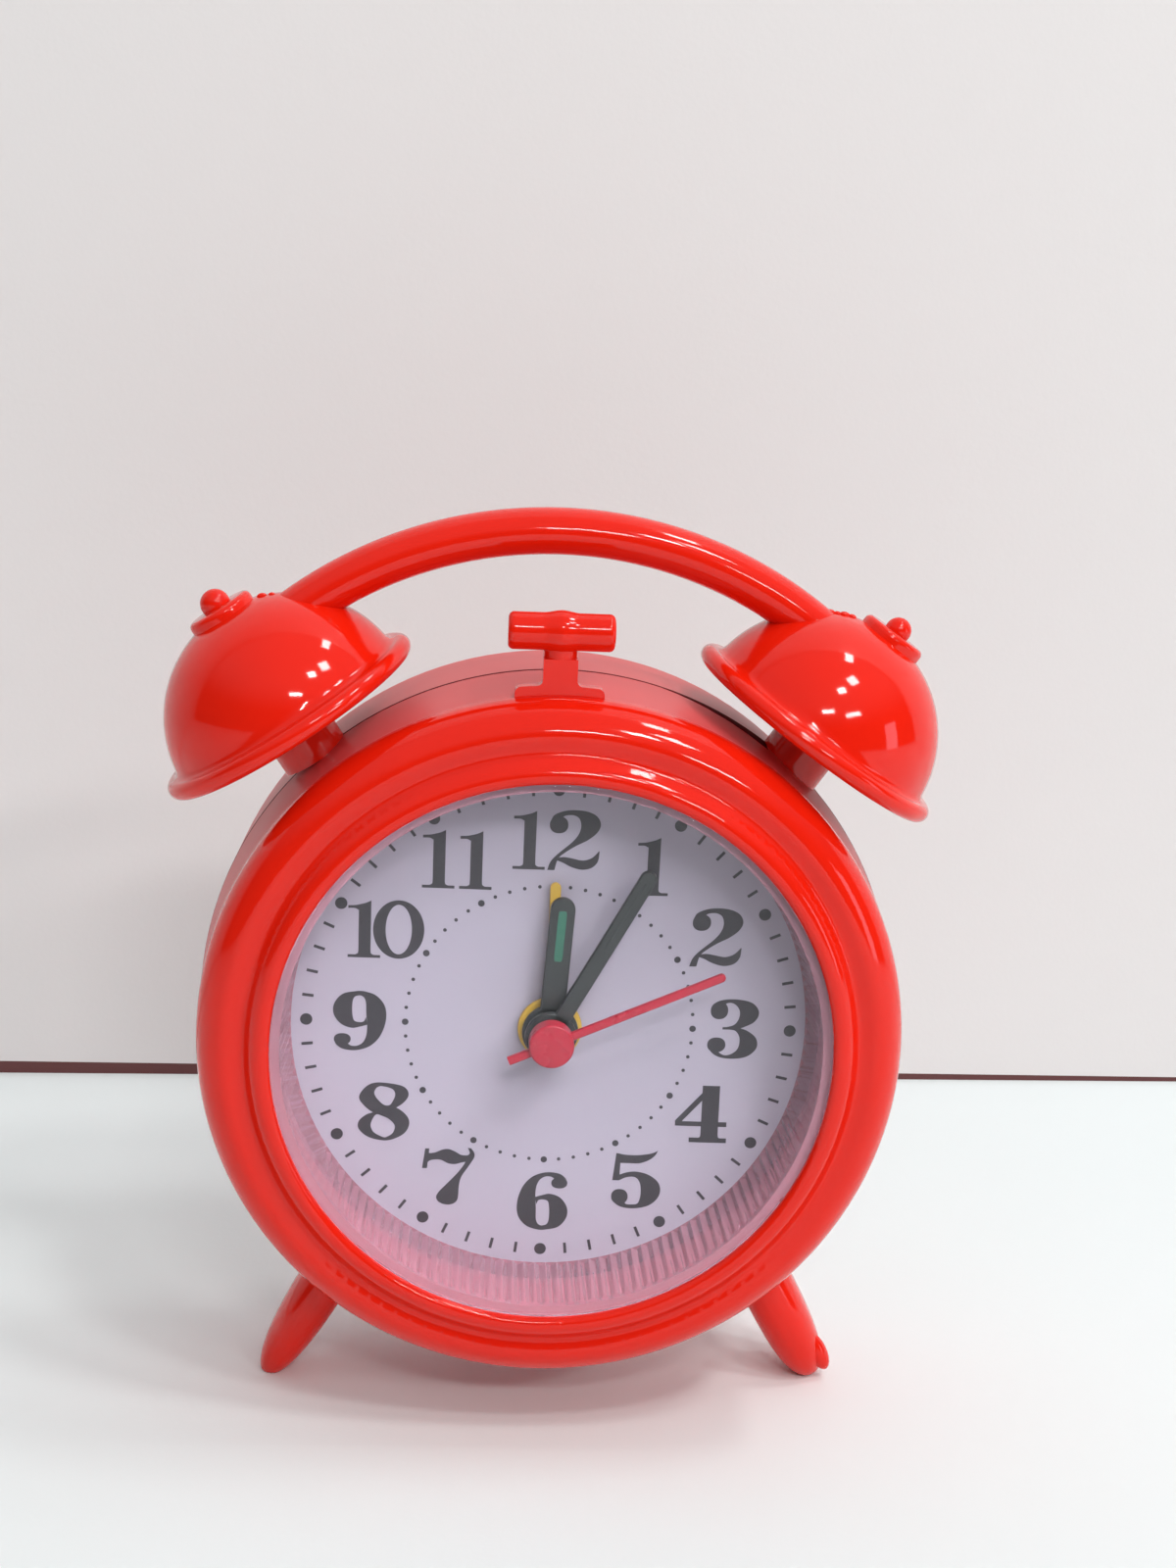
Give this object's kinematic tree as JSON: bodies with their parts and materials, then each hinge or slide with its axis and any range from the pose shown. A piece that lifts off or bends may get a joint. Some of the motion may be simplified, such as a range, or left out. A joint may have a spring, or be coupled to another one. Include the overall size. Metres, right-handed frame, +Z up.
{
  "type": "twin-bell alarm clock",
  "caption": "Small standing quartz alarm clock: round drum with ribbed clear lens, two hollow dome bells, bowed handle, dummy hammer, splayed feet, hands on a gear train.",
  "frame": {"origin": "bottom centre of the bounding box, on the surface the clock stands on", "axes": "+X to the viewer's right, +Y from the dial towards the back, +Z up"},
  "size_m": [0.0934, 0.0432, 0.1127],
  "materials": {
    "red_shell": "glossy moulded",
    "lens_clear": "clear polished",
    "dial_face": "printed satin",
    "hand_yellow": "satin",
    "hand_black": "satin",
    "hand_red": "satin",
    "movement_plastic": "moulded",
    "wheel_plastic": "moulded",
    "magnet": "ground",
    "iron": "bare",
    "copper": "enamelled",
    "board": "lacquered",
    "buzzer_case": "moulded",
    "cell_jacket": "plain jacket",
    "contact_steel": "nickel plated",
    "back_black": "moulded",
    "screw_steel": "zinc plated"
  },
  "bodies": {
    "case": {"front_shell": "red_shell", "rear_shell": "red_shell", "bell_left_front": "red_shell", "bell_left_rear": "red_shell", "bell_right_front": "red_shell", "bell_right_rear": "red_shell", "handle_front": "red_shell", "handle_rear": "red_shell", "foot_left_front": "red_shell", "foot_left_rear": "red_shell", "foot_right_front": "red_shell", "foot_right_rear": "red_shell", "hammer": "red_shell", "lens": "lens_clear", "dial": "dial_face", "movement_front_plate": "movement_plastic", "movement_middle_plate": "movement_plastic", "movement_housing": "movement_plastic", "stator": "iron", "coil": "copper", "circuit_board": "board", "quartz_crystal": "iron", "buzzer": "buzzer_case", "battery": "cell_jacket", "contact_positive": "contact_steel", "contact_negative": "contact_steel", "case_screws": "screw_steel"},
    "second_set": {"second_hand": "hand_red", "second_wheel": "wheel_plastic"},
    "third_set": {"third_wheel": "wheel_plastic"},
    "centre_set": {"centre_gear": "wheel_plastic"},
    "intermediate_set": {"intermediate_wheel": "wheel_plastic"},
    "rotor_set": {"rotor": "wheel_plastic", "rotor_magnet": "magnet"},
    "minute_set": {"minute_hand": "hand_black", "minute_tube": "wheel_plastic"},
    "hour_set": {"hour_hand": "hand_black", "hour_wheel": "wheel_plastic"},
    "motion_set": {"motion_wheel": "wheel_plastic", "time_knob": "back_black"},
    "alarm_set": {"alarm_hand": "hand_yellow", "alarm_wheel": "wheel_plastic"},
    "alarm_setter": {"alarm_pinion": "wheel_plastic", "alarm_knob": "back_black"},
    "switch": {"alarm_switch": "back_black"},
    "door": {"battery_door": "back_black"}
  },
  "joints": [
    {"name": "second_spin", "type": "hinge", "parent": "case", "child": "second_set", "pos_m": [0.0007, -0.009, 0.05035], "axis": [0, 1, 0], "continuous": true},
    {"name": "third_spin", "type": "hinge", "parent": "case", "child": "third_set", "pos_m": [0.0097, -0.009, 0.05035], "axis": [0, 1, 0], "continuous": true},
    {"name": "centre_spin", "type": "hinge", "parent": "case", "child": "centre_set", "pos_m": [0.0007, -0.009, 0.05035], "axis": [0, 1, 0], "continuous": true},
    {"name": "intermediate_spin", "type": "hinge", "parent": "case", "child": "intermediate_set", "pos_m": [-0.00816, -0.009, 0.04879], "axis": [0, 1, 0], "continuous": true},
    {"name": "rotor_spin", "type": "hinge", "parent": "case", "child": "rotor_set", "pos_m": [-0.01644, -0.009, 0.04733], "axis": [0, 1, 0], "continuous": true},
    {"name": "minute_spin", "type": "hinge", "parent": "case", "child": "minute_set", "pos_m": [0.0007, -0.009, 0.05035], "axis": [0, 1, 0], "continuous": true},
    {"name": "hour_spin", "type": "hinge", "parent": "case", "child": "hour_set", "pos_m": [0.0007, -0.009, 0.05035], "axis": [0, 1, 0], "continuous": true},
    {"name": "motion_spin", "type": "hinge", "parent": "case", "child": "motion_set", "pos_m": [-0.00673, -0.009, 0.05777], "axis": [0, 1, 0], "continuous": true},
    {"name": "alarm_spin", "type": "hinge", "parent": "case", "child": "alarm_set", "pos_m": [0.0007, -0.009, 0.05035], "axis": [0, 1, 0], "continuous": true},
    {"name": "alarm_setting_spin", "type": "hinge", "parent": "case", "child": "alarm_setter", "pos_m": [0.00645, -0.009, 0.06031], "axis": [0, 1, 0], "continuous": true},
    {"name": "switch_slide", "type": "slide", "parent": "case", "child": "switch", "axis": [1, 0, 0], "range_m": [0, 0.003]},
    {"name": "door_lift", "type": "slide", "parent": "case", "child": "door", "axis": [0, 1, 0], "range_m": [0, 0.02]}
  ],
  "couplings": [
    {"joint": "third_spin", "follows": "second_spin", "ratio": -0.125},
    {"joint": "centre_spin", "follows": "second_spin", "ratio": 0.016667},
    {"joint": "intermediate_spin", "follows": "second_spin", "ratio": -5},
    {"joint": "rotor_spin", "follows": "second_spin", "ratio": 30},
    {"joint": "motion_spin", "follows": "minute_spin", "ratio": -0.33333},
    {"joint": "hour_spin", "follows": "minute_spin", "ratio": 0.083333},
    {"joint": "alarm_setting_spin", "follows": "alarm_spin", "ratio": -3}
  ]
}
